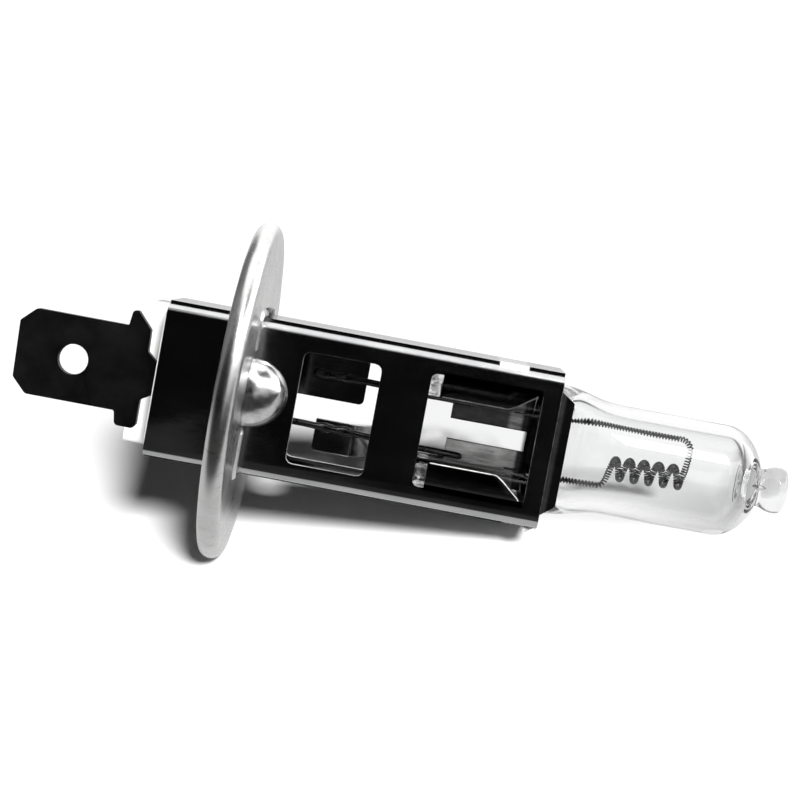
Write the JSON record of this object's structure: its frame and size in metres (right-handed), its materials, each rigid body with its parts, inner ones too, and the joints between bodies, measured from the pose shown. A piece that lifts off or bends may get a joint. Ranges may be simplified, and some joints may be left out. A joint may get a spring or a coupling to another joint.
{
  "type": "headlight bulb",
  "caption": "Halogen headlight bulb: quartz capsule with coiled filament in a long windowed metal sleeve, with a round locating flange, ceramic insulator and a flat push-on blade.",
  "frame": {"origin": "on the bulb's axis, in the flange's front face, which seats in the reflector", "axes": "+X along the bulb's axis towards the glass, +Z the wide way of the sleeve, -Y the front broad side of the sleeve"},
  "size_m": [0.0569, 0.0248, 0.0248],
  "materials": {
    "sleeve_steel": "dark plated steel, satin mirror",
    "blade_steel": "dark tarnished steel",
    "flange_nickel": "nickel plated, brushed",
    "bead_metal": "bright solder",
    "wire_metal": "drawn wire",
    "strip_metal": "dull nickel strip",
    "foil_metal": "rolled molybdenum foil",
    "tungsten": "drawn tungsten wire",
    "ceramic": "unglazed white ceramic",
    "quartz": "clear fused quartz"
  },
  "bodies": {
    "root": {"front_shell": "sleeve_steel", "back_shell": "sleeve_steel", "flange_ring": "flange_nickel", "front_weld_bead": "bead_metal", "back_weld_bead": "bead_metal", "terminal_blade": "blade_steel", "contact_strip": "strip_metal", "earth_strap": "strip_metal", "blade_rivet": "strip_metal", "insulator": "ceramic", "upper_lead_wire": "wire_metal", "lower_lead_wire": "wire_metal", "upper_foil": "foil_metal", "lower_foil": "foil_metal", "upper_inner_lead": "wire_metal", "lower_inner_lead": "wire_metal", "filament": "tungsten", "glass_envelope": "quartz"}
  },
  "joints": []
}
